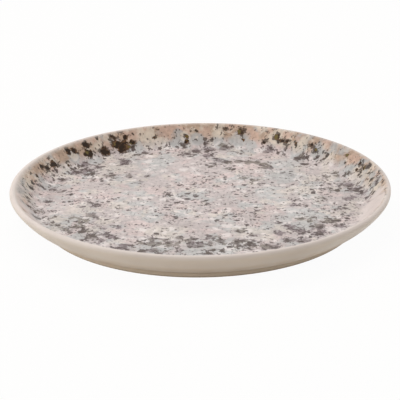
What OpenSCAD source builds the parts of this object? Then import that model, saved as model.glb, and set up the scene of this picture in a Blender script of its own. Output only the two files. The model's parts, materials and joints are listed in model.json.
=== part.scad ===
// Coupe dinner plate: a stoneware body with a turned foot ring, a stone-effect glaze on its face and a
// plain glaze over its lip, outside and base. Millimetres, +Z up, origin under the middle of the foot.

/* [Plate] */
// Diameter over the lip
plate_d = 270; // [240:1:300]
// Height of the lip above the table
plate_h = 24; // [21:0.5:28]
// How far the lip reaches out past the side of the foot
rim_overhang = 21.25; // [18:0.25:26]

/* [Wall] */
// Thickness of the lip, which is fully rounded
lip_t = 4.6; // [3.6:0.2:5.4]
// Slope of the outside just under the lip, from the horizontal
outer_slope = 57; // [52:1:64]
// Slope of the inner wall, from the horizontal
inner_slope = 46; // [42:1:50]
// Radius of the hollow curve where the inner wall runs into the well
well_fillet_r = 9; // [5:0.5:14]

/* [Base] */
// Thickness of the floor, with the glaze on both sides
floor_t = 5.5; // [4.5:0.25:7]
// Height of the straight inner side of the foot ring
recess_side_h = 2; // [1.5:0.1:3]
// Radius of the hollow curve between that side and the underside of the floor
recess_fillet_r = 2; // [1:0.1:3]
// Height of the straight outer side of the foot ring
foot_side_h = 2.7; // [2:0.1:4]
// Radius of the hollow curve between the foot and the belly
notch_r = 1.5; // [0.8:0.1:3]
// Width of the bare clay ring that the plate stands on
foot_ring_t = 5; // [3.5:0.25:8]
// Rounding of the foot's bare edges
foot_edge_r = 0.8; // [0.4:0.1:1.1]

/* [Glaze] */
// Thickness of every glaze coat
glaze_t = 0.4; // [0.2:0.05:0.6]
// Bare height left on the sides of the foot above its rounded edges
bare_h = 0.25; // [0:0.05:0.5]

/* [Hidden] */
$fn = 180;

// Steps in each round stretch of the section
arc_steps = 14;

// The section is drawn with x as the distance from the plate's axis.
axis_x = 0;
lip_r = lip_t / 2;
lip_c = [plate_d / 2 - lip_r, plate_h - lip_r];
foot_r = plate_d / 2 - rim_overhang;
recess_r = foot_r - foot_ring_t - 2 * glaze_t;
recess_h = recess_side_h + recess_fillet_r;
well_z = recess_h + floor_t;

// Directions square to the surface where the lip's round meets the inner wall and the belly. The
// stone-effect coat ends at the first of them, so the whole lip is plain.
inner_a = 90 + inner_slope;
outer_a = outer_slope - 90;

// The inner wall is a straight line, touching the lip's round and the hollow curve above the well.
fillet_c_z = well_z + well_fillet_r;
wall_side = wall_end(0) + well_fillet_r * heading(inner_a);
fillet_c = [wall_side.x - (wall_side.y - fillet_c_z) / tan(inner_slope), fillet_c_z];

// The belly is one arc. It leaves the lip at the outer slope and touches the hollow curve at the foot.
notch_c = [foot_r + notch_r, foot_side_h];
belly_top = lip_c + lip_r * heading(outer_a);
belly_span = notch_c - belly_top;
belly_r = (belly_span * belly_span - notch_r ^ 2) / (2 * (notch_r - belly_span * heading(outer_a)));
belly_c = belly_top - belly_r * heading(outer_a);
foot_a = atan2(notch_c.y - belly_c.y, notch_c.x - belly_c.x);

recess_fillet_c = [recess_r - recess_fillet_r, recess_side_h];
glaze_line = foot_edge_r + bare_h;

// Colours
clay_colour = [0.74, 0.66, 0.56];
stone_colour = [0.80, 0.75, 0.73];
cream_colour = [0.90, 0.87, 0.83];

// Unit vector at an angle
function heading(a) = [cos(a), sin(a)];

// Points along an arc, from one angle to another
function arc(c, r, from, to) = [
    for (k = [0 : arc_steps]) c + r * heading(from + (to - from) * k / arc_steps)
];

// The same line walked the other way
function reversed(line) = [for (k = [len(line) - 1 : -1 : 0]) line[k]];

// Lines of the surface, at a depth below the glaze's own face: 0 on the glaze, glaze_t on the clay

// From the middle of the well to the foot of the inner wall
function well_line(depth) = concat(
    [[axis_x, well_z - depth]],
    arc(fillet_c, well_fillet_r + depth, -90, inner_a - 180)
);

// Over the lip's round, from the inner wall to the belly
function lip_line(depth) = arc(lip_c, lip_r - depth, inner_a, outer_a);

// The point where the inner wall runs into the lip's round
function wall_end(depth) = lip_c + (lip_r - depth) * heading(inner_a);

// From the lip down the belly to the side of the foot
function belly_line(depth) = concat(
    arc(belly_c, belly_r - depth, outer_a, foot_a),
    arc(notch_c, notch_r + depth, foot_a + 180, 180)
);

// From the inner side of the foot ring to the middle of the base
function recess_line(depth) = concat(
    arc(recess_fillet_c, recess_fillet_r + depth, 0, 90),
    [[axis_x, recess_h + depth]]
);

// The foot's bare bottom, from its outer side to its inner side
function foot_line() = concat(
    arc([foot_r - glaze_t - foot_edge_r, foot_edge_r], foot_edge_r, 0, -90),
    arc([recess_r + glaze_t + foot_edge_r, foot_edge_r], foot_edge_r, -90, -180)
);

// The rolled edge of a coat that stops on a side of the foot: side_x is the clay's own side
function rolled_edge(side_x, from) = arc([side_x, glaze_line + glaze_t], glaze_t, from, -90);

module revolve(outline) {
    rotate_extrude() polygon(outline);
}

// Fired stoneware: floor, wall, lip and foot ring in one piece
module clay_body() {
    color(clay_colour)
    revolve(concat(
        well_line(glaze_t),
        lip_line(glaze_t),
        belly_line(glaze_t),
        foot_line(),
        recess_line(glaze_t)
    ));
}

// Stone-effect coat on the well and the inner wall, up to the lip
module face_glaze() {
    color(stone_colour)
    revolve(concat(
        well_line(0),
        [wall_end(0), wall_end(glaze_t)],
        reversed(well_line(glaze_t))
    ));
}

// Plain coat over the lip and down the outside, to the side of the foot
module outer_glaze() {
    color(cream_colour)
    revolve(concat(
        lip_line(0),
        belly_line(0),
        rolled_edge(foot_r - glaze_t, 0),
        reversed(belly_line(glaze_t)),
        reversed(lip_line(glaze_t))
    ));
}

// Plain coat inside the foot ring
module base_glaze() {
    color(cream_colour)
    revolve(concat(
        reversed(recess_line(0)),
        rolled_edge(recess_r + glaze_t, -180),
        recess_line(glaze_t)
    ));
}

clay_body();
face_glaze();
outer_glaze();
base_glaze();
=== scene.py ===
"""Looks of the coupe dinner plate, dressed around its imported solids.

Everything is in metres, in the plate's own frame: +Z up, with the origin on the table under the middle of the
foot. The plate is a body of revolution, so each piece is a section drawn in the XZ plane and turned about Z.
"""

import json
import logging
import math
from dataclasses import dataclass
from enum import Enum
from functools import cached_property

import bmesh
import bpy
from mathutils import Matrix, Vector
from mathutils.kdtree import KDTree


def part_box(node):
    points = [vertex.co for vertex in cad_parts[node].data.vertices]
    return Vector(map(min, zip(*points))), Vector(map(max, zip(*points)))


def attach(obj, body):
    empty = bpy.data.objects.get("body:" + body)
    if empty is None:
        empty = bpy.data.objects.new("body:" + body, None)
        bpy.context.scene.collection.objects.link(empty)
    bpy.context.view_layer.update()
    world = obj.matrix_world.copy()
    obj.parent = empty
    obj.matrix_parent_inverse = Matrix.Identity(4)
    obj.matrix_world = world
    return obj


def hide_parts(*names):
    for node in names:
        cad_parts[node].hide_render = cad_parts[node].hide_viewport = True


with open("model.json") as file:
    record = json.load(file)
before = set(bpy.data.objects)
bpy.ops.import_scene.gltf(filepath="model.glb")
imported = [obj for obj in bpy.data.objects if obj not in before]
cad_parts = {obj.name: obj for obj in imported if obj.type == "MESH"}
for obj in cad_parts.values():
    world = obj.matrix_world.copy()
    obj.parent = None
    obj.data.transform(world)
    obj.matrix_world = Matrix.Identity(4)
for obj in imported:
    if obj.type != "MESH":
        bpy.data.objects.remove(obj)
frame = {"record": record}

LOG = logging.getLogger("plate")
MM_PER_M = 1000
BODY = "root"

# Vertices of one piece that lie closer than this are one vertex.
MERGE_DISTANCE = 1e-6
# A section is turned into one wedge, and the wedge is copied round this many times in all.
WEDGES = 16
# Edges that turn by more than this stay crisp.
CRISP_ANGLE = math.radians(40)
# Steps in the rolled edge of a coat.
EDGE_STEPS = 6
# The strength that noise varies about.
NOISE_MIDDLE = 0.5

Point = tuple[float, float]
Colour = tuple[float, float, float]
# Where a smooth step starts and ends, and its answers before and after it.
Step = tuple[float, float, float, float]
Socket = bpy.types.NodeSocket
Value = float | Colour | Vector | Socket
Inputs = dict[int | str, Value]


class Slot(Enum):
    """The record's material slots."""

    CLAY = "bare_stoneware"
    STONE = "stone_effect_glaze"
    CREAM = "cream_glaze"


class Node(Enum):
    """The solids that the dressed pieces stand for."""

    CLAY = "clay_body"
    FACE = "face_glaze"
    OUTSIDE = "outer_glaze"
    BASE = "base_glaze"


class Mark(Enum):
    """Attributes of the face's vertices that say where its patches lie."""

    BLOTCH = "blotch"
    GOLD = "gold"
    SMUDGE = "smudge"
    BLUSH = "blush"
    SLATE = "slate"
    STRAW = "straw"
    BARE = "bare"
    CALM = "calm"


def heading(angle: float) -> Vector:
    """Unit vector in the section, at an angle from the outward direction."""
    return Vector((math.cos(angle), math.sin(angle)))


class SectionPen:
    """Draws a section in the XZ plane from one vertex, and turns it about Z as on a potter's wheel."""

    def __init__(self, start: Point) -> None:
        """Starts a section.

        Args:
            start: Distance from the axis and height of the first point.
        """
        self.mesh = bmesh.new()
        self.tip = self.mesh.verts.new((start[0], 0.0, start[1]))

    def sweep(self, centre: Point, stride: Vector, angle: float, steps: int) -> None:
        """Draws on from the last point in equal steps.

        Args:
            centre: Distance from the axis and height of the point that the steps turn about.
            stride: How far each step moves.
            angle: How far all steps turn together, positive from the outward direction towards +Z.
            steps: Number of edges.
        """
        made = bmesh.ops.spin(
            self.mesh,
            geom=[self.tip],
            cent=(centre[0], 0.0, centre[1]),
            axis=(0.0, -1.0, 0.0),
            dvec=stride,
            angle=angle,
            steps=steps,
        )
        self.tip = next(part for part in made["geom_last"] if isinstance(part, bmesh.types.BMVert))

    def line(self, end: Point, steps: int = 1) -> None:
        """Draws a straight stretch to a point, given as its distance from the axis and its height."""
        stride = (Vector((end[0], 0.0, end[1])) - self.tip.co) / steps
        self.sweep((0.0, 0.0), stride, 0.0, steps)

    def arc(self, centre: Point, angle: float, steps: int = 14) -> None:
        """Draws a round stretch about a point, given as its distance from the axis and its height."""
        self.sweep(centre, Vector(), angle, steps)

    def turn(self, segments: int) -> bmesh.types.BMesh:
        """Turns the section about Z into a closed shell.

        Args:
            segments: Number of faces round the axis, a multiple of the number of wedges.

        Returns:
            The shell, with its seams and poles merged and its faces pointing outwards.
        """
        self.round_axis(math.tau / WEDGES, segments // WEDGES)
        self.round_axis(math.tau * (WEDGES - 1) / WEDGES, WEDGES - 1, use_duplicate=True)
        bmesh.ops.remove_doubles(self.mesh, verts=self.mesh.verts[:], dist=MERGE_DISTANCE)
        bmesh.ops.recalc_face_normals(self.mesh, faces=self.mesh.faces[:])
        return self.mesh

    def round_axis(self, angle: float, steps: int, use_duplicate: bool = False) -> None:
        """Turns all that is drawn about Z.

        Args:
            angle: How far it turns.
            steps: Number of steps.
            use_duplicate: Whether each step is a copy, and not joined to the one before.
        """
        bmesh.ops.spin(
            self.mesh,
            geom=self.mesh.verts[:] + self.mesh.edges[:] + self.mesh.faces[:],
            cent=(0.0, 0.0, 0.0),
            axis=(0.0, 0.0, 1.0),
            angle=angle,
            steps=steps,
            use_duplicate=use_duplicate,
        )


@dataclass(frozen=True)
class PlateSection:
    """The plate's section: the driving sizes of its solids, and the points that follow from them."""

    radius: float
    height: float
    well_z: float
    rim_overhang: float = 0.02125
    lip_t: float = 0.0046
    outer_slope: float = math.radians(57)
    inner_slope: float = math.radians(46)
    well_fillet_r: float = 0.009
    recess_side_h: float = 0.002
    recess_fillet_r: float = 0.002
    foot_side_h: float = 0.0027
    notch_r: float = 0.0015
    foot_ring_t: float = 0.005
    foot_edge_r: float = 0.0008
    glaze_t: float = 0.0004
    bare_h: float = 0.00025

    @classmethod
    def from_frame(cls) -> "PlateSection":
        """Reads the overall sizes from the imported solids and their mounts.

        Returns:
            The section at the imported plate's size.
        """
        _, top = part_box(Node.OUTSIDE.value)
        mounts = {mount["name"]: mount for mount in frame["record"]["mounts"]}
        return cls(radius=top.x, height=top.z, well_z=mounts["well"]["pos_m"][2])

    @cached_property
    def lip_r(self) -> float:
        """Radius of the lip's round."""
        return self.lip_t / 2

    @cached_property
    def lip_c(self) -> Vector:
        """Middle of the lip's round."""
        return Vector((self.radius - self.lip_r, self.height - self.lip_r))

    @cached_property
    def inner_a(self) -> float:
        """Direction square to the inner wall."""
        return math.pi / 2 + self.inner_slope

    @cached_property
    def outer_a(self) -> float:
        """Direction square to the outside just under the lip."""
        return self.outer_slope - math.pi / 2

    @cached_property
    def foot_r(self) -> float:
        """Radius of the foot's outer side."""
        return self.radius - self.rim_overhang

    @cached_property
    def recess_r(self) -> float:
        """Radius of the hollow inside the foot ring."""
        return self.foot_r - self.foot_ring_t - 2 * self.glaze_t

    @cached_property
    def recess_h(self) -> float:
        """Height of the hollow inside the foot ring."""
        return self.recess_side_h + self.recess_fillet_r

    @cached_property
    def recess_fillet_c(self) -> Vector:
        """Middle of the hollow curve inside the foot ring."""
        return Vector((self.recess_r - self.recess_fillet_r, self.recess_side_h))

    @cached_property
    def glaze_line(self) -> float:
        """Height at which the glaze stops on the sides of the foot."""
        return self.foot_edge_r + self.bare_h

    @cached_property
    def fillet_c(self) -> Vector:
        """Middle of the hollow curve between the well and the inner wall."""
        z = self.well_z + self.well_fillet_r
        side = self.wall_end(0.0) + self.well_fillet_r * heading(self.inner_a)
        return Vector((side.x - (side.y - z) / math.tan(self.inner_slope), z))

    @cached_property
    def notch_c(self) -> Vector:
        """Middle of the hollow curve between the foot and the belly."""
        return Vector((self.foot_r + self.notch_r, self.foot_side_h))

    @cached_property
    def belly_r(self) -> float:
        """Radius of the belly, which leaves the lip at the outer slope and touches the notch."""
        span = self.notch_c - self.lip_c - self.lip_r * heading(self.outer_a)
        reach = self.notch_r - span.dot(heading(self.outer_a))
        return (span.length_squared - self.notch_r**2) / (2 * reach)

    @cached_property
    def belly_c(self) -> Vector:
        """Middle of the belly's arc."""
        return self.lip_c + (self.lip_r - self.belly_r) * heading(self.outer_a)

    @cached_property
    def foot_a(self) -> float:
        """Direction from the middle of the belly's arc to the notch."""
        span = self.notch_c - self.belly_c
        return math.atan2(span.y, span.x)

    def wall_end(self, depth: float) -> Vector:
        """Top of the inner wall, at a depth below the glaze's face."""
        return self.lip_c + (self.lip_r - depth) * heading(self.inner_a)

    def wall_foot(self, depth: float) -> Vector:
        """Bottom of the inner wall, at a depth below the glaze's face."""
        return self.fillet_c - (self.well_fillet_r + depth) * heading(self.inner_a)

    def surface_reach(self, x: float, z: float) -> float:
        """Length along the plate's face from its middle to a point on it.

        Args:
            x: The point's distance from the axis.
            z: Its height.

        Returns:
            The length over the well, the hollow curve and the wall.
        """
        centre = self.fillet_c
        if x <= centre.x:
            return x
        turned = math.atan2(x - centre.x, centre.y - z)
        curve = centre.x + self.well_fillet_r * min(turned, self.inner_slope)
        if turned <= self.inner_slope:
            return curve
        return curve + (Vector((x, z)) - self.wall_foot(0.0)).length


class Graph:
    """A material's node tree, with a short call for each kind of node that the finishes use."""

    def __init__(self, holder: bpy.types.Material | bpy.types.World, coordinates: str = "Object") -> None:
        """Empties a material's or a world's tree.

        Args:
            holder: What the tree belongs to.
            coordinates: The coordinates that the patterns are read at.
        """
        self.holder = holder
        holder.use_nodes = True
        self.tree = holder.node_tree
        self.tree.nodes.clear()
        self.place: Socket = self.add("ShaderNodeTexCoord").outputs[coordinates]

    def add(self, kind: str, inputs: Inputs | None = None, **settings: str) -> bpy.types.Node:
        """Adds a node.

        Args:
            kind: Blender's name for the node.
            inputs: What goes into it, by the number or the name of each input.
            settings: The node's own properties.

        Returns:
            The new node.
        """
        node = self.tree.nodes.new(kind)
        for key, setting in settings.items():
            setattr(node, key, setting)
        for key, value in (inputs or {}).items():
            self.feed(node.inputs[key], value)
        return node

    def feed(self, socket: Socket, value: Value) -> None:
        """Gives an input a number, a vector or a colour, or links it.

        Args:
            socket: The input.
            value: What goes in.
        """
        if isinstance(value, Socket):
            self.tree.links.new(value, socket)
        elif socket.type == "RGBA":
            socket.default_value = (*value, 1.0)
        else:
            socket.default_value = value

    def sum(self, operation: str, *numbers: Value) -> Socket:
        """Works out a number from two or three others, by Blender's name for the sum, such as ADD."""
        return self.add("ShaderNodeMath", dict(enumerate(numbers)), operation=operation).outputs[0]

    def moved(self, place: Socket, by: Value) -> Socket:
        """A place moved by a vector."""
        return self.add("ShaderNodeVectorMath", {0: place, 1: by}, operation="ADD").outputs[0]

    def noise_node(
        self, size: float, seed: float, detail: float = 2.0, roughness: float = 0.5
    ) -> bpy.types.Node:
        """Adds cloudy noise.

        Args:
            size: Size of its clouds.
            seed: A number that picks the pattern.
            detail: How many finer layers it has.
            roughness: How strong those are.

        Returns:
            The noise node.
        """
        inputs = {
            "Vector": self.place,
            "W": seed,
            "Scale": 1 / size,
            "Detail": detail,
            "Roughness": roughness,
        }
        return self.add("ShaderNodeTexNoise", inputs, noise_dimensions="4D")

    def noise(self, *pattern: float) -> Socket:
        """Strength of the noise that noise_node adds, mostly between 0.3 and 0.7."""
        return self.noise_node(*pattern).outputs["Fac"]

    def warped(self, size: float, seed: float, amount: float) -> Socket:
        """The place, pushed about by noise so that round spots get uneven outlines.

        Args:
            size: Size of the noise.
            seed: A number that picks the pattern.
            amount: How far a place moves at most.

        Returns:
            The moved place.
        """
        noise = self.noise_node(size, seed).outputs["Color"]
        inputs = {0: noise, 1: (2 * amount,) * 3, 2: (-amount,) * 3}
        push = self.add("ShaderNodeVectorMath", inputs, operation="MULTIPLY_ADD")
        return self.moved(self.place, push.outputs[0])

    def cells(self, place: Socket, size: float, dimensions: str = "3D") -> tuple[Socket, Socket]:
        """Scattered points, each with a random number of its own.

        Args:
            place: Where the pattern is read.
            size: Mean distance between the points.
            dimensions: 2D where the pattern runs straight through the plate from face to base.

        Returns:
            Distance to the nearest point as a share of the size, and that point's random number.
        """
        inputs = {"Vector": place, "Scale": 1 / size}
        node = self.add("ShaderNodeTexVoronoi", inputs, voronoi_dimensions=dimensions)
        split = self.add("ShaderNodeSeparateColor", {0: node.outputs["Color"]})
        return node.outputs["Distance"], split.outputs[0]

    def mark(self, mark: Mark) -> Socket:
        """Strength of a mark on the piece's own vertices, 0 where it has none."""
        return self.add("ShaderNodeAttribute", attribute_name=mark.value).outputs["Fac"]

    def axes(self) -> tuple[Socket, ...]:
        """The place's own X, Y and Z."""
        return tuple(self.add("ShaderNodeSeparateXYZ", {0: self.place}).outputs)

    def off_axis(self, shift: Vector) -> Socket:
        """Distance from an upright axis.

        Args:
            shift: Where the axis stands, from the plate's own.

        Returns:
            The distance.
        """
        inputs = {0: self.place, 1: (1.0, 1.0, 0.0), 2: -shift}
        flat = self.add("ShaderNodeVectorMath", inputs, operation="MULTIPLY_ADD")
        length = self.add("ShaderNodeVectorMath", {0: flat.outputs[0]}, operation="LENGTH")
        return length.outputs["Value"]

    def ramp(self, value: Socket, low: float, high: float, start: float = 0.0, end: float = 1.0) -> Socket:
        """A smooth step.

        Args:
            value: The number to read.
            low: Where the step starts.
            high: Where it ends.
            start: The answer before the step.
            end: The answer after it.

        Returns:
            The answer.
        """
        inputs = dict(enumerate((value, low, high, start, end)))
        return self.add("ShaderNodeMapRange", inputs, interpolation_type="SMOOTHSTEP").outputs[0]

    def mix(self, share: Value, first: Value, second: Value, blend: str = "MIX") -> Socket:
        """Blends two colours.

        Args:
            share: How much of the second shows.
            first: The colour below.
            second: The colour above.
            blend: Blender's name for the blend.

        Returns:
            The blended colour.
        """
        # The node also has inputs and outputs for numbers and vectors. These are the ones for colours.
        inputs = {0: share, 6: first, 7: second}
        node = self.add("ShaderNodeMix", inputs, data_type="RGBA", blend_type=blend)
        return node.outputs[2]

    def bump(self, height: Socket, depth: float) -> Socket:
        """A surface normal from a height between 0 and 1, where 1 is a depth in metres."""
        return self.add("ShaderNodeBump", {"Distance": depth, "Height": height}).outputs["Normal"]

    def ceramic(self, colour: Value, roughness: Value, normal: Socket, shine: float) -> bpy.types.Material:
        """Ends the tree in a ceramic surface.

        Args:
            colour: The surface's colour.
            roughness: Its roughness.
            normal: Its normal.
            shine: How strongly it reflects, 0.5 for clear glass.

        Returns:
            The finished material.
        """
        inputs = {
            "Base Color": colour,
            "Roughness": roughness,
            "Specular IOR Level": shine,
            "Normal": normal,
        }
        surface = self.add("ShaderNodeBsdfPrincipled", inputs)
        self.add("ShaderNodeOutputMaterial", {"Surface": surface.outputs[0]})
        return self.holder


@dataclass(frozen=True)
class Clouds:
    """Cloudy noise, and the step that its strength goes through."""

    size: float
    seed: float
    step: Step
    detail: float = 2.0
    roughness: float = 0.5

    def read(self, graph: Graph, lift: Value | None = None) -> Socket:
        """Reads the clouds.

        Args:
            graph: The tree to add to.
            lift: What is added to the noise before the step.

        Returns:
            The step's answer at each place.
        """
        noise = graph.noise(self.size, self.seed, self.detail, self.roughness)
        if lift is not None:
            noise = graph.sum("ADD", noise, lift)
        return graph.ramp(noise, *self.step)


@dataclass(frozen=True)
class RaggedMark:
    """A mark on the face, its outline broken up by noise, and the step that its strength goes through."""

    mark: Mark
    size: float
    seed: float
    amount: float
    step: Step
    detail: float = 4.0
    roughness: float = 0.6

    def strength(self, graph: Graph) -> Socket:
        """Reads the mark.

        Args:
            graph: The tree to add to.

        Returns:
            Its strength, raised and lowered by the noise.
        """
        noise = graph.noise(self.size, self.seed, self.detail, self.roughness)
        uneven = graph.sum("MULTIPLY", graph.sum("SUBTRACT", noise, NOISE_MIDDLE), self.amount)
        return graph.sum("ADD", graph.mark(self.mark), uneven)

    def read(self, graph: Graph) -> Socket:
        """The step's answer at each place."""
        return graph.ramp(self.strength(graph), *self.step)


@dataclass(frozen=True)
class Spots:
    """Knobbly spots of many sizes, and the step at their edges.

    The size is the mean distance between them. Their reaches are shares of it, and a spot whose reach is
    under 0 doesn't show.
    """

    size: float
    seed: float
    smallest: float
    largest: float
    step: Step
    knob_size: float = 0.4
    knob_depth: float = 0.35

    def read(self, graph: Graph, gather: Value = 0.0) -> Socket:
        """Reads the spots.

        Args:
            graph: The tree to add to.
            gather: How much further they all reach, where they gather.

        Returns:
            The step's answer at each place.
        """
        place = graph.warped(self.size * self.knob_size, self.seed, self.size * self.knob_depth)
        near, pick = graph.cells(graph.moved(place, (self.seed,) * 3), self.size, "2D")
        grown = graph.sum("MULTIPLY", pick, self.largest - self.smallest)
        reach = graph.sum("ADD", grown, graph.sum("ADD", gather, self.smallest))
        return graph.ramp(graph.sum("SUBTRACT", reach, near), *self.step)


@dataclass(frozen=True)
class IronSpecks:
    """Rare specks, on some of the points of a scatter.

    The gap is the mean distance between the points. The reach is a step that turns a point's random number
    into the size of its speck, as a share of the gap, and the edge is the step at the speck's outline.
    """

    gap: float
    reach: Step
    edge: Step

    def read(self, graph: Graph, place: Socket) -> Socket:
        """Reads the specks.

        Args:
            graph: The tree to add to.
            place: Where the pattern is read.

        Returns:
            The step's answer at each place.
        """
        near, pick = graph.cells(place, self.gap)
        return graph.ramp(graph.sum("SUBTRACT", graph.ramp(pick, *self.reach), near), *self.edge)


@dataclass(frozen=True)
class StoneGlaze:
    """Granite-like speckle on a clouded ground.

    Pale flecks lie on the ground, then grey smudges with a faint stain round them, brown specks and dark
    blotches.
    """

    # The well's height, and how far above it the wall's own colours start and are full
    well_z: float
    wall_rise: Point = (0.002, 0.008)

    # Colours
    pink: Colour = (0.54, 0.466, 0.446)
    grey: Colour = (0.49, 0.48, 0.464)
    cream: Colour = (0.61, 0.54, 0.485)
    rose: Colour = (0.60, 0.485, 0.46)
    wall: Colour = (0.455, 0.325, 0.24)
    salmon: Colour = (0.53, 0.365, 0.285)
    slate: Colour = (0.42, 0.408, 0.395)
    straw: Colour = (0.62, 0.525, 0.43)
    blush: Colour = (0.635, 0.55, 0.515)
    pale: Colour = (0.74, 0.67, 0.64)
    ash: Colour = (0.38, 0.362, 0.352)
    mauve: Colour = (0.177, 0.130, 0.137)
    lichen: Colour = (0.176, 0.146, 0.113)
    umber: Colour = (0.066, 0.042, 0.035)
    rust: Colour = (0.13, 0.065, 0.030)
    black: Colour = (0.024, 0.011, 0.004)
    olive: Colour = (0.15, 0.11, 0.03)

    # Clouds in the ground, in the tint of the smudges, among the specks and in the blotches
    cool_clouds: Clouds = Clouds(0.017, 1.0, (0.49, 0.59, 0.0, 0.80), 3.0)
    light_clouds: Clouds = Clouds(0.012, 2.0, (0.53, 0.61, 0.0, 0.80), 3.0)
    rosy_clouds: Clouds = Clouds(0.014, 24.0, (0.53, 0.61, 0.0, 0.80), 3.0)
    mottle: Clouds = Clouds(0.0035, 4.0, (0.30, 0.70, 0.82, 1.12), 4.0, 0.65)
    shade: Clouds = Clouds(0.035, 23.0, (0.35, 0.65, 0.93, 1.06))
    pale_clouds: Clouds = Clouds(0.0065, 5.0, (0.57, 0.68, 0.0, 0.7), 3.0)
    tint: Clouds = Clouds(0.030, 8.0, (0.42, 0.58, 0.0, 1.0))
    drift: Clouds = Clouds(0.028, 9.0, (0.38, 0.62, 0.0, 0.10), 3.0)
    grain: Clouds = Clouds(0.0032, 11.0, (0.60, 0.67, 0.0, 0.8), 3.0, 0.55)
    rusting: Clouds = Clouds(0.0022, 15.0, (0.98, 1.25, 0.0, 1.0))

    # Spots
    pale_chips: Spots = Spots(0.014, 25.0, -0.30, 0.36, (0.0, 0.14, 0.0, 0.68))
    dust: Spots = Spots(0.0028, 10.0, -0.16, 0.25, (0.0, 0.10, 0.0, 0.7))
    specks: Spots = Spots(0.0070, 12.0, -0.24, 0.24, (0.0, 0.10, 0.0, 0.9))

    # Patches of the ground, smudges, blotches and what lies in or over them
    rosy_patches: RaggedMark = RaggedMark(Mark.BLUSH, 0.006, 3.0, 1.0, (0.25, 0.58, 0.0, 0.80))
    cool_patches: RaggedMark = RaggedMark(Mark.SLATE, 0.006, 18.0, 1.0, (0.25, 0.58, 0.0, 0.80))
    light_patches: RaggedMark = RaggedMark(Mark.STRAW, 0.006, 19.0, 1.0, (0.25, 0.58, 0.0, 0.80))
    smudges: RaggedMark = RaggedMark(Mark.SMUDGE, 0.0038, 6.0, 2.1, (0.35, 0.52, 0.0, 0.77))
    blotches: RaggedMark = RaggedMark(Mark.BLOTCH, 0.0035, 7.0, 1.2, (0.50, 0.60, 0.0, 1.0))
    golds: RaggedMark = RaggedMark(Mark.GOLD, 0.0030, 14.0, 1.4, (0.30, 0.55, 0.0, 0.9))
    bares: RaggedMark = RaggedMark(Mark.BARE, 0.010, 20.0, 0.8, (0.20, 0.60, 0.0, 0.9))

    # What the marks do round themselves: a stain, fewer specks, and grain that gathers
    stain: Step = (0.0, 0.6, 0.0, 0.35)
    calm: Step = (0.0, 0.5, 0.0, 0.07)
    smudge_grain: Step = (0.15, 0.70, 0.0, 0.12)
    blotch_grain: Step = (0.02, 0.60, 0.0, 0.11)
    drift_grain: float = 0.5

    def on_wall(self, graph: Graph) -> Socket:
        """0 on the well and 1 on the wall."""
        return graph.ramp(graph.axes()[2], *(self.well_z + rise for rise in self.wall_rise))

    def ground(self, graph: Graph) -> Socket:
        """Soft clouds and patches of pink, grey, cream and rose, warmer on the wall.

        Args:
            graph: The tree to add to.

        Returns:
            The ground's colour.
        """
        on_wall = self.on_wall(graph)
        cool = graph.mix(on_wall, self.grey, self.slate)
        light = graph.mix(on_wall, self.cream, self.straw)
        rosy = graph.mix(on_wall, self.rose, self.salmon)
        layers = (
            (self.cool_clouds, cool),
            (self.light_clouds, light),
            (self.rosy_clouds, rosy),
            (self.rosy_patches, rosy),
            (self.cool_patches, cool),
            (self.light_patches, light),
        )
        colour = graph.mix(on_wall, self.pink, self.wall)
        for pattern, tone in layers:
            colour = graph.mix(pattern.read(graph), colour, tone)
        shade = graph.sum("MULTIPLY", self.mottle.read(graph), self.shade.read(graph))
        return graph.mix(1.0, colour, shade, "MULTIPLY")

    def flecks(self, graph: Graph) -> Socket:
        """Share of the pale flecks: small cloudy ones, and compact ones that lie further apart."""
        return graph.sum("MAXIMUM", self.pale_clouds.read(graph), self.pale_chips.read(graph))

    def specked(self, graph: Graph, colour: Socket, smudge: Socket) -> Socket:
        """Strews grain, dust and specks over a colour, more grain in the smudges and round the blotches.

        Args:
            graph: The tree to add to.
            colour: The colour below.
            smudge: Strength of the smudges.

        Returns:
            The colour with all of them on it.
        """
        dark = graph.mix(self.on_wall(graph), self.umber, self.black)
        calm = graph.ramp(graph.mark(Mark.CALM), *self.calm)
        drift = graph.sum("SUBTRACT", self.drift.read(graph), calm)
        satellites = graph.ramp(graph.mark(Mark.BLOTCH), *self.blotch_grain)
        gather = graph.sum("ADD", graph.ramp(smudge, *self.smudge_grain), satellites)
        lift = graph.sum("MULTIPLY_ADD", drift, self.drift_grain, gather)
        colour = graph.mix(self.grain.read(graph, lift), colour, dark)
        for spots in (self.dust, self.specks):
            colour = graph.mix(spots.read(graph, drift), colour, dark)
        return colour

    def colour(self, graph: Graph) -> Socket:
        """The whole speckle.

        Args:
            graph: The tree to add to.

        Returns:
            Its colour.
        """
        smudge = self.smudges.strength(graph)
        blotch = self.blotches.strength(graph)
        fleck = graph.mix(self.on_wall(graph), self.pale, self.straw)
        colour = graph.mix(self.flecks(graph), self.ground(graph), fleck)
        colour = graph.mix(graph.ramp(graph.mark(Mark.SMUDGE), *self.stain), colour, self.ash)
        tint = graph.mix(self.tint.read(graph), self.mauve, self.lichen)
        colour = graph.mix(graph.ramp(smudge, *self.smudges.step), colour, tint)
        colour = self.specked(graph, colour, smudge)
        middle = graph.mix(self.golds.read(graph), self.black, self.olive)
        blot = graph.mix(self.rusting.read(graph, blotch), self.rust, middle)
        colour = graph.mix(graph.ramp(blotch, *self.blotches.step), colour, blot)
        return graph.mix(self.bares.read(graph), colour, self.blush)


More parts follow.
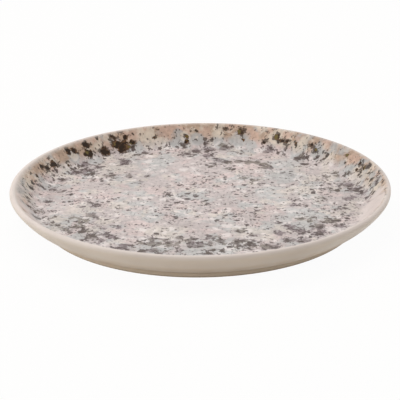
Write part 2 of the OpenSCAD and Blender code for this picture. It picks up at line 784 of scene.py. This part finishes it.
@dataclass(frozen=True)
class CreamGlaze:
    """Plain cream with a rare iron speck.

    It takes a painted highlight tone on the lip, turns warmer towards the foot, and is darker on the lower
    belly above the notch, partly from glaze gathered there and partly as painted shade.
    """

    # Height band over which the coat turns from warm at the foot to the plain cream.
    warm_z: Point = (0.003, 0.016)
    # lip_z and pale: a tone on the lip's top that stands in for its highlight, a painted highlight.
    lip_z: Point = (0.0215, 0.0235)
    # notch_z and the pool band bound a darker band on the lower belly above the notch: partly glaze gathered
    # there, partly painted shade where the crease's shadow spreads up.
    notch_z: Point = (0.0026, 0.0044)
    pool_shade_z: Point = (0.0085, 0.0150)
    cream: Colour = (0.63, 0.57, 0.515)
    pale: Colour = (0.64, 0.56, 0.51)
    warm: Colour = (0.70, 0.60, 0.485)
    # Colour of that band above the notch, partly painted shade.
    pool_shade: Colour = (0.555, 0.453, 0.34)
    speck: Colour = (0.16, 0.11, 0.07)
    clouds: Clouds = Clouds(0.030, 21.0, (0.30, 0.70, 0.97, 1.03), 3.0)
    specks: IronSpecks = IronSpecks(0.012, (0.70, 1.0, 0.0, 0.045), (0.0, 0.015, 0.0, 0.7))
    speck_warp: tuple[float, float, float] = (0.002, 22.0, 0.0004)

    def colour(self, graph: Graph) -> Socket:
        """The plain coat.

        Args:
            graph: The tree to add to.

        Returns:
            Its colour.
        """
        z = graph.axes()[2]
        # Warmer towards the foot.
        colour = graph.mix(graph.ramp(z, *self.warm_z), self.warm, self.cream)
        # Painted highlight: the lip's top takes the pale tone.
        colour = graph.mix(graph.ramp(z, *self.lip_z), colour, self.pale)
        # Darker band above the notch: partly gathered glaze, partly painted shade.
        pool_shade_share = graph.sum("MULTIPLY", graph.ramp(z, *self.notch_z), graph.ramp(z, *self.pool_shade_z, 1.0, 0.0))
        colour = graph.mix(pool_shade_share, colour, self.pool_shade)
        colour = graph.mix(1.0, colour, self.clouds.read(graph), "MULTIPLY")
        return graph.mix(self.specks.read(graph, graph.warped(*self.speck_warp)), colour, self.speck)


@dataclass(frozen=True)
class GlazeLine:
    """Where the speckle runs out under the lip: a soft line, a little off centre as a hand-laid one is."""

    radius: float
    lip_z: float
    shift: Vector = Vector((0.0011, 0.0011, 0.0))
    softness: float = 0.0018
    waver: float = 0.0012
    waver_size: float = 0.008
    seed: float = 17.0

    def plain_share(self, graph: Graph) -> Socket:
        """How far the plain coat has taken over, going outwards.

        Args:
            graph: The tree to add to.

        Returns:
            0 inside the line and 1 outside it.
        """
        uneven = graph.sum("SUBTRACT", graph.noise(self.waver_size, self.seed), NOISE_MIDDLE)
        reach = graph.sum("ADD", graph.off_axis(self.shift), graph.sum("MULTIPLY", uneven, self.waver))
        return graph.ramp(reach, self.radius - self.softness, self.radius + self.softness)

    def below_lip(self, graph: Graph) -> Socket:
        """1 below the lip's middle, where only the plain coat is, and 0 above it."""
        return graph.ramp(graph.axes()[2], self.lip_z, self.lip_z + self.softness, 1.0, 0.0)


@dataclass(frozen=True)
class SatinSurface:
    """The gloss of a satin glaze: a little uneven, with a faint ripple where it flowed."""

    shine: float = 0.30
    roughness: Clouds = Clouds(0.011, 13.0, (0.30, 0.70, 0.36, 0.50), 3.0)
    ripple_size: float = 0.006
    ripple_seed: float = 14.0
    ripple_depth: float = 0.00004

    def material(self, graph: Graph, colour: Socket) -> bpy.types.Material:
        """Ends a tree, whose colour is ready, in this surface."""
        normal = graph.bump(graph.noise(self.ripple_size, self.ripple_seed), self.ripple_depth)
        return graph.ceramic(colour, self.roughness.read(graph), normal, self.shine)


@dataclass(frozen=True)
class BareClay:
    """Unglazed stoneware: sandy, speckled with iron, with fine turning lines round the axis."""

    sand: Colour = (0.60, 0.49, 0.375)
    dark_sand: Colour = (0.45, 0.36, 0.26)
    iron: Colour = (0.12, 0.075, 0.045)
    shine: float = 0.25
    grain: tuple[float, ...] = (0.0009, 31.0, 3.0, 0.6)
    dark_grain: Point = (0.35, 0.70)
    roughness: Step = (0.30, 0.70, 0.78, 0.92)
    specks: IronSpecks = IronSpecks(0.0035, (0.60, 1.0, 0.0, 0.16), (0.0, 0.06, 0.0, 1.0))
    line_gap: float = 0.0004
    grain_share: float = 0.6
    line_share: float = 0.4
    depth: float = 0.00012

    def material(self) -> bpy.types.Material:
        """Builds the finish.

        Returns:
            The material.
        """
        graph = Graph(bpy.data.materials.new(Slot.CLAY.value))
        grain = graph.noise(*self.grain)
        colour = graph.mix(graph.ramp(grain, *self.dark_grain), self.sand, self.dark_sand)
        colour = graph.mix(self.specks.read(graph, graph.place), colour, self.iron)
        inputs = {"W": graph.off_axis(Vector()), "Scale": 1 / self.line_gap}
        lines = graph.add("ShaderNodeTexNoise", inputs, noise_dimensions="1D").outputs["Fac"]
        grains = graph.sum("MULTIPLY", grain, self.grain_share)
        relief = graph.sum("ADD", grains, graph.sum("MULTIPLY", lines, self.line_share))
        normal = graph.bump(relief, self.depth)
        return graph.ceramic(colour, graph.ramp(grain, *self.roughness), normal, self.shine)


@dataclass(frozen=True)
class Patch:
    """A patch on the face.

    The angle is in degrees from +X towards +Y. The reach along the face from its middle and the size, which
    is a radius, are in millimetres. At the size the strength has halved, and at twice it has run out.
    """

    angle: float
    reach: float
    size: float
    strength: float = 1.0

    @property
    def middle(self) -> Vector:
        """The patch's middle on the face laid flat, in metres."""
        return (heading(math.radians(self.angle)) * self.reach / MM_PER_M).to_3d()

    @property
    def spread(self) -> float:
        """How far the patch reaches at most, in metres."""
        return 2 * self.size / MM_PER_M

    def at(self, distance: float) -> float:
        """How strong the patch is at a distance in metres from its middle."""
        return self.strength * (1 - distance / self.spread)


def patches(*rows: tuple[float, ...]) -> tuple[Patch, ...]:
    """Patches from rows of angle, reach, size and, where it isn't 1, strength."""
    return tuple(Patch(*row) for row in rows)


# The patches of each mark, at the places listed.
PATCHES = {
    Mark.BLOTCH: patches(
        (163, 127, 2.4, 0.8), (157, 131, 2.2), (155, 127.5, 2.2), (151, 128, 4.1),
        (145, 121.5, 2.4, 0.75), (141, 132.5, 3.4), (138.5, 131, 3.2), (133.5, 125, 4, 1.1),
        (133, 132.5, 3.9), (127, 123.5, 3.4, 1.15), (125.8, 121.5, 2.2), (121, 127, 4.9),
        (119, 124, 5.4), (120.5, 120.5, 2.5), (117, 131, 2.4), (115, 126, 2.6), (122, 134.5, 1.8, 0.9),
        (106.5, 127.5, 1.6, 0.8), (95, 122.5, 2, 0.95), (94.7, 126.5, 1.8, 0.85), (92, 134, 1.6, 0.8),
        (88, 124, 1.6, 0.7), (81, 133, 1.8, 0.75), (75.5, 131.5, 3.3, 0.9), (74, 125, 1.8, 0.9),
        (66, 124.5, 2.2, 0.85), (62, 130.5, 3, 0.95), (59.5, 128, 2.4, 0.9), (57.5, 128.5, 2, 0.9),
        (54, 128.5, 1.6, 0.8), (47.5, 130.5, 2, 0.8), (45, 127.5, 2.3, 0.85), (39.5, 122.5, 1.8, 0.75),
        (30.5, 132, 2.3, 0.8), (29, 127, 1.8, 0.7), (22, 132, 2.6, 0.85), (18.5, 131, 2.9, 0.85),
        (21.5, 126.5, 2.4, 0.8), (-58, 131, 4.5), (-74, 126, 3, 0.9), (-98, 130, 4.2),
        (-124, 127, 3.6, 0.9), (-147, 131, 3.4, 0.9),
    ),
    Mark.GOLD: patches(
        (134, 126, 1.8, 0.8), (121.5, 128, 2, 0.6), (116.5, 123.5, 2.2), (94.6, 126, 2.2),
        (77, 131.5, 2.8), (73.5, 128, 1.8), (63.2, 131.5, 3.2), (62, 128, 2.2), (45, 128, 1.6),
        (30.5, 131.5, 3), (17.5, 133, 2.6), (-58, 132, 3.2), (-98, 129, 2.6), (-147, 132, 2.4),
    ),
    Mark.SMUDGE: patches(
        (173, 124.5, 3.5, 0.65), (166, 121, 3, 0.6), (166, 110.5, 5, 0.7), (168, 102, 5, 0.6),
        (155, 111, 4, 0.75), (146, 112, 4.5, 0.85), (142.5, 109, 5, 0.9), (138, 117, 4, 0.85),
        (144, 102, 4, 0.7), (136, 106, 3, 0.75), (124, 102, 5, 0.85), (141, 85, 5, 0.6),
        (134, 75, 4, 0.75), (127, 66, 3, 0.7), (137, 60, 3, 0.65), (115.5, 112, 2.4, 0.8),
        (112, 113, 3, 0.9), (96, 117.5, 2.5, 0.85), (95, 101, 4, 0.85), (92, 108, 3.5, 0.8),
        (86.5, 112, 4, 0.9), (86, 97, 4, 0.9), (80.5, 115.5, 4.5, 1.1), (81, 88, 4, 0.9),
        (81.5, 79, 3, 0.65), (84, 74, 3, 0.65), (76, 85, 4, 0.9), (72.5, 71, 3.5, 0.75),
        (72, 108, 4, 0.6), (70.5, 88.5, 3.5, 0.95), (66, 90.5, 3.5, 0.95), (62, 92, 3.5, 0.95),
        (58, 91, 3.5, 0.9), (55, 86, 4, 0.85), (57, 59, 3.5, 0.65), (47, 58, 3, 0.65),
        (63.3, 119, 4, 0.95), (49.5, 117, 4, 0.9), (45, 110, 3.5, 0.6), (38, 85, 3.5, 0.65),
        (29, 115.5, 3, 0.75), (26.5, 114, 2.5, 0.75), (28, 105.5, 2.5, 0.75), (17, 134, 3, 0.8),
        (5, 131, 3.5, 0.7), (24, 121, 3.5, 0.7), (16, 113, 5, 0.8), (11, 113.5, 5, 0.85),
        (6, 118, 4.5, 0.8), (0.5, 120, 3, 0.75), (11, 99, 6, 0.6), (2, 108, 5, 0.8), (3, 88, 5, 0.5),
        (-9, 102, 3, 0.7), (-16, 106, 3.5, 0.6), (-24, 98, 5.5, 0.9), (-27, 107, 4.5, 0.75),
        (-23, 86, 3, 0.8), (-26.5, 86, 3.5, 0.85), (-26.5, 78.5, 3, 0.85), (-32, 95, 5.5, 0.9),
        (-37.5, 102.5, 5, 0.9), (-40, 89.5, 6.5, 0.75), (-38.5, 78, 4, 0.85), (-38, 68.5, 3, 0.8),
        (-47, 100, 4.5, 0.85), (-47.5, 82.5, 4, 0.9), (-48, 77, 3, 0.7), (-51, 94, 4.5, 0.85),
        (-61, 96, 6, 0.8), (-61.5, 75, 4, 0.65), (-67, 83, 7, 0.65), (-70, 88, 6, 0.7),
        (-71.5, 79, 4.5, 0.75), (-80, 75.5, 5, 0.7), (-85, 77, 4.5, 0.75), (-85, 90, 3, 0.8),
        (-87, 94, 3, 0.65), (-81, 92, 2.5, 0.75), (-84, 66, 5, 0.65), (-92.5, 80, 6.5, 0.8),
        (-95, 73, 4.5, 0.7), (-99, 91, 4.5, 0.55), (-106, 79, 6.5, 0.95), (-112.5, 85, 4, 0.9),
        (-103, 69, 4.5, 0.65), (-110, 83, 5.5, 0.75), (-106.5, 94, 6, 0.65), (-110, 95.5, 5, 0.6),
        (-114.5, 77, 3.5, 0.95), (-114.5, 97, 5, 0.65), (-121.5, 98, 5.5, 0.75), (-118, 86, 4.5, 0.6),
        (-133, 100, 4, 0.75), (-133.5, 88, 4, 0.8), (-137.5, 88.5, 4, 0.85), (-139, 98.5, 6, 0.8),
        (-146, 97, 4, 0.8), (-152, 95, 4, 0.7), (-157, 88, 5, 0.65), (-140, 72.5, 3.5, 0.85),
        (-147, 85, 3.5, 0.65), (-144, 83, 3, 0.6), (-151.5, 104, 6, 0.65), (-157.5, 108, 3, 0.75),
        (-162, 94, 3, 0.6), (-162, 80, 4, 0.65), (-165, 104, 3, 0.45), (-169, 84, 3, 0.65),
        (-175, 85, 3.5, 0.7), (-176, 75, 5, 0.6), (-172, 117, 5, 0.65), (178, 110, 5, 0.55),
        (183, 122, 4, 0.75), (195, 121, 3.5, 0.9), (-64.5, 62.5, 3, 0.85), (-7.5, 67, 3.5, 0.75),
    ),
    Mark.BLUSH: patches(
        (160, 121, 6, 0.6), (152, 134, 5, 0.7), (147.5, 132, 2.5), (128, 133, 4, 0.8),
        (114, 133, 6, 0.8), (102, 131, 6), (97.5, 133, 3.5, 0.9), (88, 130, 5, 0.9), (71, 118, 3.5, 0.7),
        (58, 133.5, 4, 0.9), (42, 133, 5, 0.6), (26, 132, 5, 0.9), (13, 134.5, 3.5, 0.4), (-66, 127, 7),
        (-88, 132, 6), (-111, 128, 7), (-140, 130, 7), (65, 80, 12, 0.7), (90, 40, 14, 0.6),
        (170, 70, 14, 0.6), (-35, 55, 12, 0.6), (-75, 66, 6, 0.7), (-98, 56, 6, 0.7),
    ),
    Mark.SLATE: patches(
        (173, 135, 5, 0.6), (167, 117, 6, 0.5), (140, 127, 4.5), (132.5, 116, 5), (97, 127, 5),
        (98, 122, 4.5), (91, 123.5, 5), (83.5, 122, 4.5), (75, 124, 6), (70.5, 121, 4),
        (50.5, 126.5, 3.5), (43, 126, 6, 0.8), (24, 124, 4.5), (-52, 129, 7), (-82, 124, 7),
        (-104, 122, 7), (-131, 130, 7), (5, 131, 6), (115, 80, 15, 0.6), (50, 100, 12, 0.8),
        (40, 80, 14, 0.85), (-20, 75, 12, 0.8), (-33, 84, 10, 0.8), (-30, 68, 10, 0.7),
        # The slate patches in front, from -70 to -108 degrees at 80 to 95 mm, are grey glaze that also
        # darkens the well under the front lip: partly painted shade.
        (-70, 85, 10, 0.6), (-90, 80, 12, 0.7), (-80, 88, 12, 0.8), (-93, 93, 10, 0.8),
        (-108, 95, 8, 0.7), (15, 50, 14, 0.6), (38, 130, 5, 0.7), (30, 126, 5, 0.7), (17, 127, 5, 0.7),
        (11, 130, 5, 0.7), (34, 133, 4, 0.7), (22, 134, 4, 0.7),
    ),
    Mark.STRAW: patches(
        (153, 117, 5, 0.7), (128, 128, 5, 0.7), (119, 113, 6, 0.8), (108, 127, 5), (109, 121, 4),
        (104, 121, 4.5), (86, 121, 3, 0.8), (83, 129, 4), (63, 128, 6, 0.8), (52, 124, 4),
        (51, 131.5, 4, 0.8), (36, 124, 5, 0.7), (20, 123, 6), (15, 118, 4), (9, 121, 6),
        (1.5, 129, 5, 0.8), (-60, 122, 7), (-95, 128, 6), (-118, 133, 6), (-152, 120, 7),
        (130, 95, 14, 0.8), (110, 105, 5, 0.7), (15, 80, 9, 0.8), (-42, 72.5, 4, 0.9), (-56, 82, 6, 0.8),
        (-55, 70, 6, 0.7), (-115, 60, 12, 0.7), (-110, 68, 8, 0.9), (-62, 66, 9, 0.8),
        (-145, 90, 5, 0.9), (-170, 90, 9, 0.7), (170, 128, 7, 0.6), (180, 122, 7, 0.6),
        (198, 106, 6, 0.8), (8, 123, 5, 0.8),
    ),
    Mark.BARE: patches(
        (178, 133, 6, 0.45), (185, 130, 8, 0.5), (194, 130, 9, 0.7), (203, 126, 9, 0.8),
        (199, 117, 6, 0.5), (-4, 129, 6, 0.8), (-10, 124, 9), (-12, 134, 7), (-18, 126, 10),
        (-26, 128, 10), (-34, 127, 9),
    ),
    Mark.CALM: patches(
        (110, 80, 15), (125, 60, 12), (150, 60, 12), (175, 40, 10), (155, 90, 9, 0.8),
    ),
}


class Piece:
    """A finished piece of the plate: its object, at the origin, riding on the plate's one body."""

    def __init__(self, name: str, shell: bmesh.types.BMesh, stands_for: Node, slot: Slot) -> None:
        """Makes the object.

        Args:
            name: The piece's name.
            shell: Its closed mesh, which is freed.
            stands_for: The solid that it replaces.
            slot: The record's slot for its finish; not used.
        """
        for face in shell.faces:
            face.smooth = True
        data = bpy.data.meshes.new(name)
        shell.to_mesh(data)
        shell.free()
        data.set_sharp_from_angle(angle=CRISP_ANGLE)
        self.object = bpy.data.objects.new(name, data)
        bpy.context.scene.collection.objects.link(self.object)
        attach(self.object, BODY)
        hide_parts(stands_for.value)

    def dress(self, material: bpy.types.Material) -> None:
        """Gives the piece its finish and reports it."""
        self.object.data.materials.append(material)
        LOG.info("%s: %d faces, %s", self.object.name, len(self.object.data.polygons), material.name)


@dataclass
class ClayBody:
    """The fired stoneware body, bare only under the foot ring."""

    section: PlateSection
    segments: int = 256
    foot_steps: int = 4

    def shell(self) -> bmesh.types.BMesh:
        """Turns the clay's section.

        Returns:
            Its closed shell.
        """
        s = self.section
        depth = s.glaze_t
        pen = SectionPen((0.0, s.well_z - depth))
        pen.line((s.fillet_c.x, s.well_z - depth))
        pen.arc(s.fillet_c, s.inner_slope)
        pen.line(s.wall_end(depth))
        pen.arc(s.lip_c, s.outer_a - s.inner_a)
        pen.arc(s.belly_c, s.foot_a - s.outer_a)
        pen.arc(s.notch_c, -s.foot_a)
        outer_side = s.foot_r - depth
        inner_side = s.recess_r + depth
        pen.line((outer_side, s.foot_edge_r))
        pen.arc((outer_side - s.foot_edge_r, s.foot_edge_r), -math.pi / 2)
        pen.line((inner_side + s.foot_edge_r, 0.0), self.foot_steps)
        pen.arc((inner_side + s.foot_edge_r, s.foot_edge_r), -math.pi / 2)
        pen.line((inner_side, s.recess_side_h))
        pen.arc(s.recess_fillet_c, math.pi / 2)
        pen.line((0.0, s.recess_h + depth))
        return pen.turn(self.segments)

    def build(self) -> None:
        """Makes and dresses the piece."""
        Piece("plate_clay", self.shell(), Node.CLAY, Slot.CLAY).dress(BareClay().material())


@dataclass
class FaceGlaze:
    """The stone-effect coat on the well and the inner wall, up to the lip."""

    section: PlateSection
    segments: int = 640
    well_steps: int = 60
    fillet_steps: int = 8
    wall_steps: int = 14
    shine: float = 0.18

    def shell(self) -> bmesh.types.BMesh:
        """Turns the coat's section, close-meshed on its face so that the patches can be marked there.

        Returns:
            Its closed shell.
        """
        s = self.section
        pen = SectionPen((0.0, s.well_z))
        pen.line((s.fillet_c.x, s.well_z), self.well_steps)
        pen.arc(s.fillet_c, s.inner_slope, self.fillet_steps)
        pen.line(s.wall_end(0.0), self.wall_steps)
        pen.line(s.wall_end(s.glaze_t))
        pen.line(s.wall_foot(s.glaze_t))
        pen.arc(s.fillet_c, -s.inner_slope, self.fillet_steps)
        pen.line((0.0, s.well_z - s.glaze_t))
        return pen.turn(self.segments)

    def laid_flat(self, shell: bmesh.types.BMesh) -> KDTree:
        """Lays the face's vertices flat, each at its length along the face from the middle.

        Args:
            shell: The coat's shell.

        Returns:
            The flat places, to be searched.
        """
        tree = KDTree(len(shell.verts))
        for index, vertex in enumerate(shell.verts):
            out = vertex.co.xy.length
            stretch = self.section.surface_reach(out, vertex.co.z) / out if out else 0.0
            tree.insert((*(vertex.co.xy * stretch), 0.0), index)
        tree.balance()
        return tree

    def put_marks(self, shell: bmesh.types.BMesh) -> None:
        """Writes how strong each mark is at each vertex of the coat's shell.

        Args:
            shell: The coat's shell.
        """
        layers = [shell.verts.layers.float.new(mark.value) for mark in PATCHES]
        shell.verts.ensure_lookup_table()
        tree = self.laid_flat(shell)
        for layer, marked in zip(layers, PATCHES.values()):
            for patch in marked:
                for _, index, distance in tree.find_range(patch.middle, patch.spread):
                    vertex = shell.verts[index]
                    vertex[layer] = max(vertex[layer], patch.at(distance))

    def build(self, stone: StoneGlaze, plain: CreamGlaze, line: GlazeLine) -> None:
        """Makes and dresses the piece.

        Args:
            stone: The speckle on its face.
            plain: The coat that it runs out into.
            line: Where it does so.
        """
        shell = self.shell()
        self.put_marks(shell)
        graph = Graph(bpy.data.materials.new(Slot.STONE.value))
        colour = graph.mix(line.plain_share(graph), stone.colour(graph), plain.colour(graph))
        material = SatinSurface(self.shine).material(graph, colour)
        Piece("plate_face", shell, Node.FACE, Slot.STONE).dress(material)


@dataclass
class OuterGlaze:
    """The plain coat over the lip and down the outside, to the side of the foot."""

    section: PlateSection
    segments: int = 400
    outer_steps: int = 20
    inner_steps: int = 12
    inner_notch_steps: int = 8
    side_steps: int = 2

    def shell(self) -> bmesh.types.BMesh:
        """Turns the coat's section.

        Returns:
            Its closed shell.
        """
        s = self.section
        lip_sweep = s.outer_a - s.inner_a
        belly_sweep = s.foot_a - s.outer_a
        edge_c = (s.foot_r - s.glaze_t, s.glaze_line + s.glaze_t)
        pen = SectionPen(s.wall_end(0.0))
        pen.arc(s.lip_c, lip_sweep, self.outer_steps)
        pen.arc(s.belly_c, belly_sweep, self.outer_steps)
        pen.arc(s.notch_c, -s.foot_a)
        pen.line((s.foot_r, edge_c[1]), self.side_steps)
        pen.arc(edge_c, -math.pi / 2, EDGE_STEPS)
        pen.line((edge_c[0], s.foot_side_h))
        pen.arc(s.notch_c, s.foot_a, self.inner_notch_steps)
        pen.arc(s.belly_c, -belly_sweep, self.inner_steps)
        pen.arc(s.lip_c, -lip_sweep, self.inner_steps)
        pen.line(s.wall_end(0.0))
        return pen.turn(self.segments)

    def build(self, stone: StoneGlaze, plain: CreamGlaze, line: GlazeLine) -> None:
        """Makes and dresses the piece.

        Args:
            stone: The speckle that runs out over the lip.
            plain: The coat on the lip and the outside.
            line: Where one gives way to the other.
        """
        graph = Graph(bpy.data.materials.new("lip_glaze"))
        share = graph.sum("MAXIMUM", line.plain_share(graph), line.below_lip(graph))
        colour = graph.mix(share, stone.colour(graph), plain.colour(graph))
        material = SatinSurface().material(graph, colour)
        Piece("plate_outside", self.shell(), Node.OUTSIDE, Slot.CREAM).dress(material)


@dataclass
class BaseGlaze:
    """The plain coat inside the foot ring."""

    section: PlateSection
    segments: int = 256
    floor_steps: int = 13

    def shell(self) -> bmesh.types.BMesh:
        """Turns the coat's section.

        Returns:
            Its closed shell.
        """
        s = self.section
        edge_c = (s.recess_r + s.glaze_t, s.glaze_line + s.glaze_t)
        pen = SectionPen((0.0, s.recess_h))
        pen.line((s.recess_fillet_c.x, s.recess_h), self.floor_steps)
        pen.arc(s.recess_fillet_c, -math.pi / 2)
        pen.line((s.recess_r, edge_c[1]))
        pen.arc(edge_c, math.pi / 2, EDGE_STEPS)
        pen.line((edge_c[0], s.recess_side_h))
        pen.arc(s.recess_fillet_c, math.pi / 2)
        pen.line((0.0, s.recess_h + s.glaze_t))
        return pen.turn(self.segments)

    def build(self, plain: CreamGlaze) -> None:
        """Makes and dresses the piece.

        Args:
            plain: The coat.
        """
        graph = Graph(bpy.data.materials.new(Slot.CREAM.value))
        material = SatinSurface().material(graph, plain.colour(graph))
        Piece("plate_base", self.shell(), Node.BASE, Slot.CREAM).dress(material)


@dataclass(frozen=True)
class PhotoView:
    """Where the photograph was taken from, fitted to the plate's outline in its 400 by 400 pixels."""

    distance: float = 1.215
    elevation: float = math.radians(21.63)
    roll: float = math.radians(0.54)
    focal_px: float = 1696.3
    frame_px: float = 400.0
    origin_px: Point = (200.38, 214.0)
    sensor: float = 0.036

    def build(self) -> None:
        """Makes the camera, aimed so that the plate's origin falls on its pixel."""
        back = Vector((0.0, -math.cos(self.elevation), math.sin(self.elevation)))
        level = Vector((1.0, 0.0, 0.0))
        upright = level.cross(back) * -1
        right = math.cos(self.roll) * level - math.sin(self.roll) * upright
        up = math.sin(self.roll) * level + math.cos(self.roll) * upright
        middle = self.frame_px / 2
        aim = -back
        aim += (self.origin_px[1] - middle) / self.focal_px * up
        aim -= (self.origin_px[0] - middle) / self.focal_px * right
        aim.normalize()
        right = (right - right.dot(aim) * aim).normalized()
        turn = Matrix((right, right.cross(aim), -aim)).transposed()
        data = bpy.data.cameras.new("photo_view")
        data.sensor_width = self.sensor * MM_PER_M
        data.lens = data.sensor_width * self.focal_px / self.frame_px
        camera = bpy.data.objects.new("photo_view", data)
        camera.matrix_world = Matrix.Translation(back * self.distance) @ turn.to_4x4()
        bpy.context.scene.collection.objects.link(camera)
        bpy.context.scene.camera = camera


@dataclass(frozen=True)
class Studio:
    """A pale floor, soft lamps overhead and at both sides, and a surround that is white round the horizon."""

    floor_size: float = 12.0
    floor_gap: float = 0.00005
    floor_colour: Colour = (0.76, 0.68, 0.575)
    shadow_share: float = 0.04
    surround_colour: Colour = (1.0, 1.0, 1.0)
    overhead: float = 0.30
    overhead_z: Point = (0.45, 0.85)
    front: float = 0.66
    front_y: Point = (-0.8, 0.6)
    overhead_at: Vector = Vector((-0.25, 0.30, 1.10))
    overhead_power: float = 8.1
    left_at: Vector = Vector((-1.10, -0.32, 0.58))
    left_power: float = 4.8
    right_at: Vector = Vector((0.75, 0.10, 0.95))
    right_power: float = 1.6
    lamp_size: float = 1.0

    def floor(self) -> None:
        """Lays the floor, which the camera sees as white with the plate's soft shadow on it."""
        mesh = bmesh.new()
        drop = Matrix.Translation((0.0, 0.0, -self.floor_gap))
        bmesh.ops.create_grid(mesh, x_segments=1, y_segments=1, size=self.floor_size / 2, matrix=drop)
        data = bpy.data.meshes.new("floor")
        mesh.to_mesh(data)
        mesh.free()
        floor = bpy.data.objects.new("floor", data)
        bpy.context.scene.collection.objects.link(floor)
        graph = Graph(bpy.data.materials.new("floor_white"))
        paint = graph.add("ShaderNodeBsdfDiffuse", {"Color": self.floor_colour})
        glow = graph.add("ShaderNodeEmission")
        share = graph.sum("MULTIPLY", self.seen(graph), 1.0 - self.shadow_share)
        blend = graph.add("ShaderNodeMixShader", {0: share, 1: paint.outputs[0], 2: glow.outputs[0]})
        graph.add("ShaderNodeOutputMaterial", {"Surface": blend.outputs[0]})
        data.materials.append(graph.holder)

    @staticmethod
    def seen(graph: Graph) -> Socket:
        """Tells what the camera sees from the light that falls on the plate.

        Args:
            graph: The tree to add to.

        Returns:
            1 for what the camera sees, straight or reflected, and 0 for light.
        """
        path = graph.add("ShaderNodeLightPath").outputs
        shine = graph.sum("MAXIMUM", path["Is Glossy Ray"], path["Is Transmission Ray"])
        return graph.sum("MAXIMUM", path["Is Camera Ray"], shine)

    def surround(self) -> None:
        """Sets the world: white round the horizon, dim overhead, and dimmer light from the camera's side."""
        world = bpy.data.worlds.new("surround")
        graph = Graph(world, "Generated")
        _, y, z = graph.axes()
        sky = graph.ramp(z, *self.overhead_z, 1.0, self.overhead)
        fill = graph.sum("MULTIPLY", sky, graph.ramp(y, *self.front_y, self.front, 1.0))
        strength = graph.add("ShaderNodeMix", {0: self.seen(graph), 2: fill, 3: sky}).outputs[0]
        inputs = {"Color": self.surround_colour, "Strength": strength}
        background = graph.add("ShaderNodeBackground", inputs)
        graph.add("ShaderNodeOutputWorld", {"Surface": background.outputs[0]})
        bpy.context.scene.world = world

    def lamp(self, name: str, at: Vector, power: float) -> None:
        """Hangs a soft lamp, facing the plate.

        Args:
            name: The lamp's name.
            at: Where it hangs.
            power: Its strength in watts.
        """
        data = bpy.data.lights.new(name, "AREA")
        data.shape = "SQUARE"
        data.size = self.lamp_size
        data.energy = power
        lamp = bpy.data.objects.new(name, data)
        lamp.location = at
        lamp.rotation_euler = (-at).to_track_quat("-Z", "Y").to_euler()
        bpy.context.scene.collection.objects.link(lamp)

    def build(self) -> None:
        """Sets up the floor, the lamps and the surround."""
        self.floor()
        self.surround()
        self.lamp("overhead_lamp", self.overhead_at, self.overhead_power)
        self.lamp("left_lamp", self.left_at, self.left_power)
        self.lamp("right_lamp", self.right_at, self.right_power)
        bpy.context.scene.view_settings.view_transform = "Standard"


def main() -> None:
    """Builds the camera, the plate's pieces and the studio."""
    logging.basicConfig(level=logging.INFO, format="%(name)s %(message)s")
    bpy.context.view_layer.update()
    PhotoView().build()
    section = PlateSection.from_frame()
    stone = StoneGlaze(section.well_z)
    plain = CreamGlaze()
    line = GlazeLine(radius=section.wall_end(0.0).x, lip_z=section.lip_c.y)
    ClayBody(section).build()
    FaceGlaze(section).build(stone, plain, line)
    OuterGlaze(section).build(stone, plain, line)
    BaseGlaze(section).build(plain)
    Studio().build()


if __name__ == "__main__":
    main()
